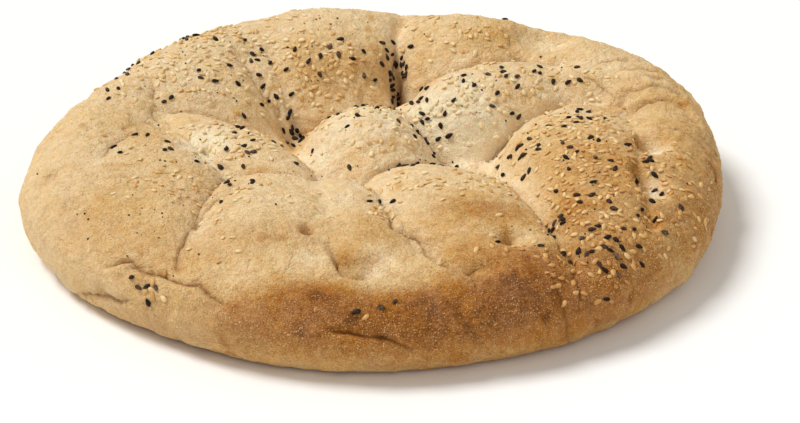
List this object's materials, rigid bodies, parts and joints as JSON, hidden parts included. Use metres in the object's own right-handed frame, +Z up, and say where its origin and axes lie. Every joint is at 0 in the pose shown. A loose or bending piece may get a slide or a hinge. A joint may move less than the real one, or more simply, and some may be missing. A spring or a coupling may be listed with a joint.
{
  "type": "turkish bread loaf",
  "caption": "Round flat loaf of turkish bread, dimpled into plump lobes inside a high rim, with sesame and nigella seeds baked into its golden crust",
  "frame": {"origin": "middle of the loaf's bounding box, on the surface that it rests on", "axes": "+X to the loaf's right, +Y to its high back rim, +Z up; the front faces -Y"},
  "size_m": [0.2878, 0.2642, 0.0492],
  "materials": {
    "crust": "baked bread crust, golden brown, dry and floury, with seeds"
  },
  "bodies": {
    "root": {"bread": "crust"}
  },
  "joints": []
}
